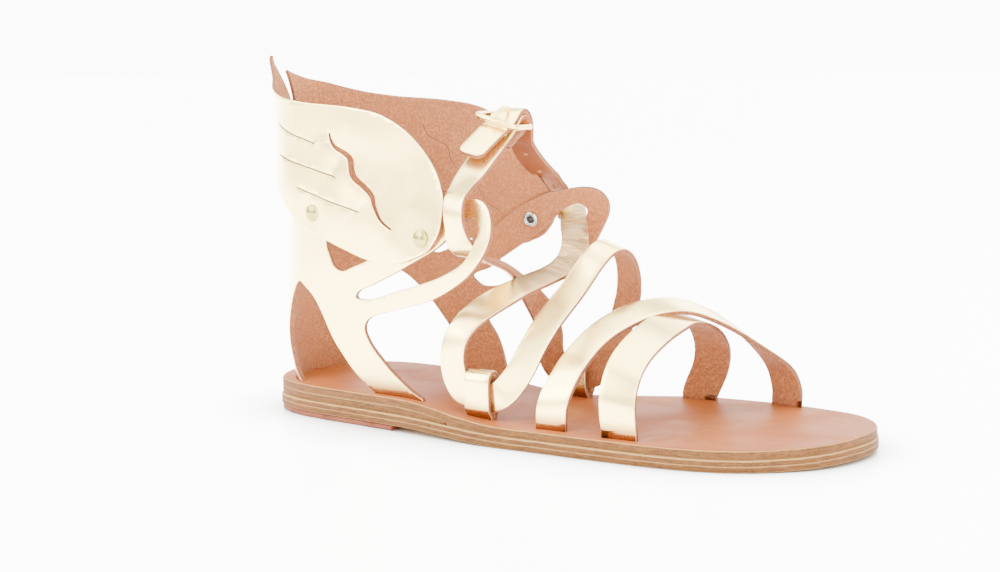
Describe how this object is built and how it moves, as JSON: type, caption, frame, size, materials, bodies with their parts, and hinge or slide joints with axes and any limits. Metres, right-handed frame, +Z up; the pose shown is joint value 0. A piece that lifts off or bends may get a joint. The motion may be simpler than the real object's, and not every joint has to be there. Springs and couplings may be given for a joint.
{
  "type": "gladiator sandal",
  "caption": "Flat gladiator sandal for the right foot: metallic leather harness with two ankle wings, lacing strap with buckle, crossed toe straps, stacked leather sole.",
  "frame": {"origin": "centre of the bounding box seen from above, on the floor the sandal stands on", "axes": "+X from heel to toe, +Y to the inner (medial) side of the foot, +Z up"},
  "size_m": [0.2526, 0.097, 0.1395],
  "materials": {
    "gold_leather": "metallic foil, glossy",
    "insole_leather": "smooth, satin",
    "sole_leather": "matt",
    "heel_rubber": "matt",
    "brass": "polished"
  },
  "bodies": {
    "root": {"outsole": "sole_leather", "heel_wedge": "sole_leather", "heel_lift": "heel_rubber", "insole": "insole_leather", "heel_harness": "gold_leather", "wing_lateral": "gold_leather", "wing_medial": "gold_leather", "rivet_front_lateral": "brass", "rivet_rear_lateral": "brass", "rivet_front_medial": "brass", "rivet_rear_medial": "brass", "lacing_strap": "gold_leather", "sole_loop_lateral": "gold_leather", "sole_loop_medial": "gold_leather", "toe_straps": "gold_leather", "buckle_frame": "brass", "buckle_prong": "brass", "strap_rivet": "brass"}
  },
  "joints": []
}
